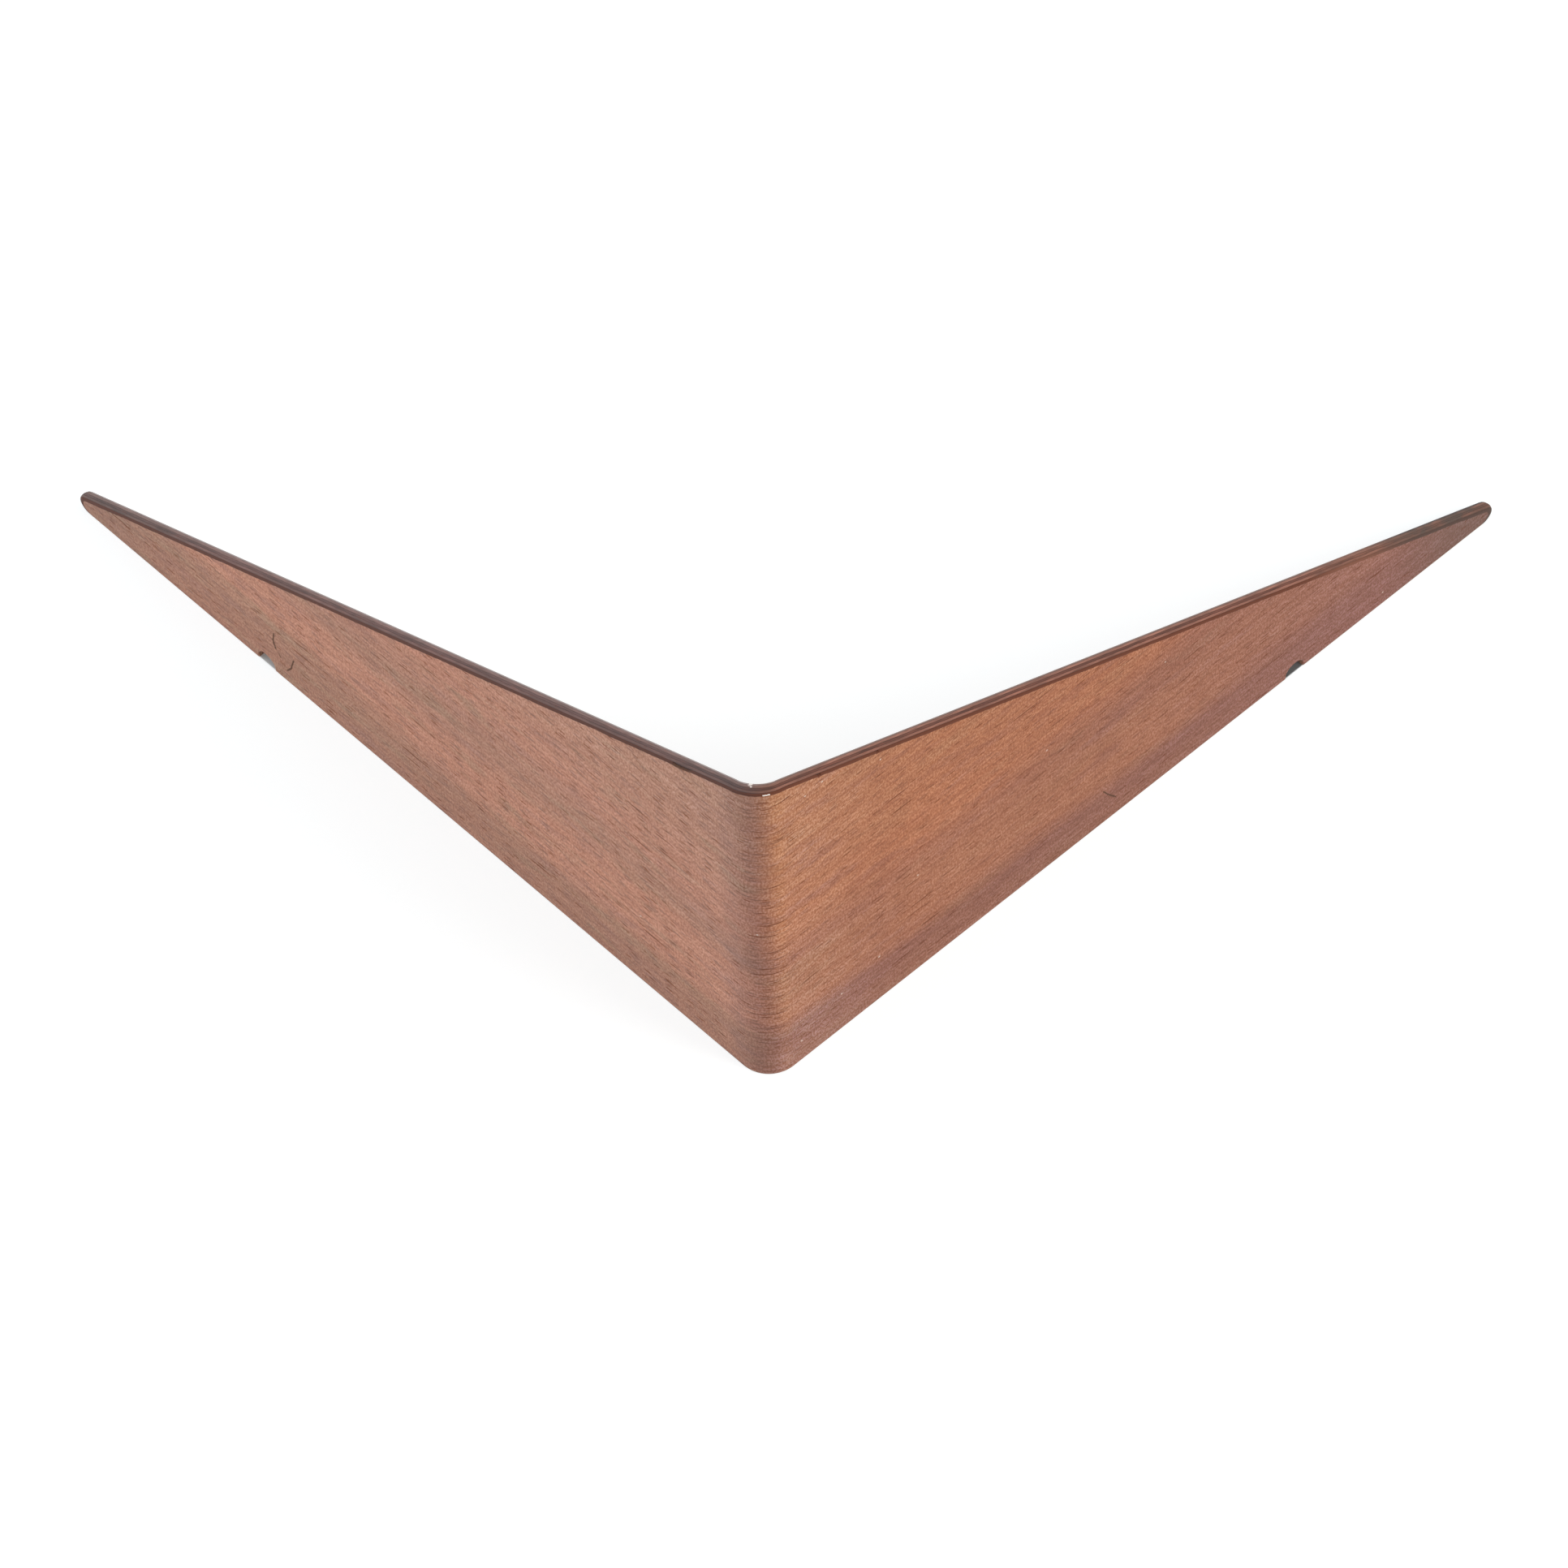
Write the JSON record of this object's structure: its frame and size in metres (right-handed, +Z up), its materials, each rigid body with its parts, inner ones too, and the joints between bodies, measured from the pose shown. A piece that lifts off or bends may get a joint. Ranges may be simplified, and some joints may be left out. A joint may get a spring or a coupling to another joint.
{
  "type": "moulded plywood boomerang",
  "caption": "Boomerang-shaped V of moulded plywood: long tapering teak-veneered wings meet in one tight upright bend, and it stands or hangs flat on its base edges.",
  "frame": {"origin": "middle of the footprint's bounding rectangle, on the plane of the base edges", "axes": "+X across the wings from tip to tip, +Y from the bend towards the tips, +Z up along the bend"},
  "size_m": [0.4238, 0.1966, 0.15],
  "materials": {
    "teak_veneer": "satin clear lacquer over straight-grained teak",
    "crossband": "stained and lacquered ply edge",
    "core": "stained and lacquered ply edge",
    "glue_line": "dark cured glue"
  },
  "bodies": {
    "root": {"outer_face_veneer": "teak_veneer", "outer_glue_film": "glue_line", "outer_crossband": "crossband", "outer_core_glue_film": "glue_line", "core_ply": "core", "inner_core_glue_film": "glue_line", "inner_crossband": "crossband", "inner_glue_film": "glue_line", "inner_face_veneer": "teak_veneer"}
  },
  "joints": []
}
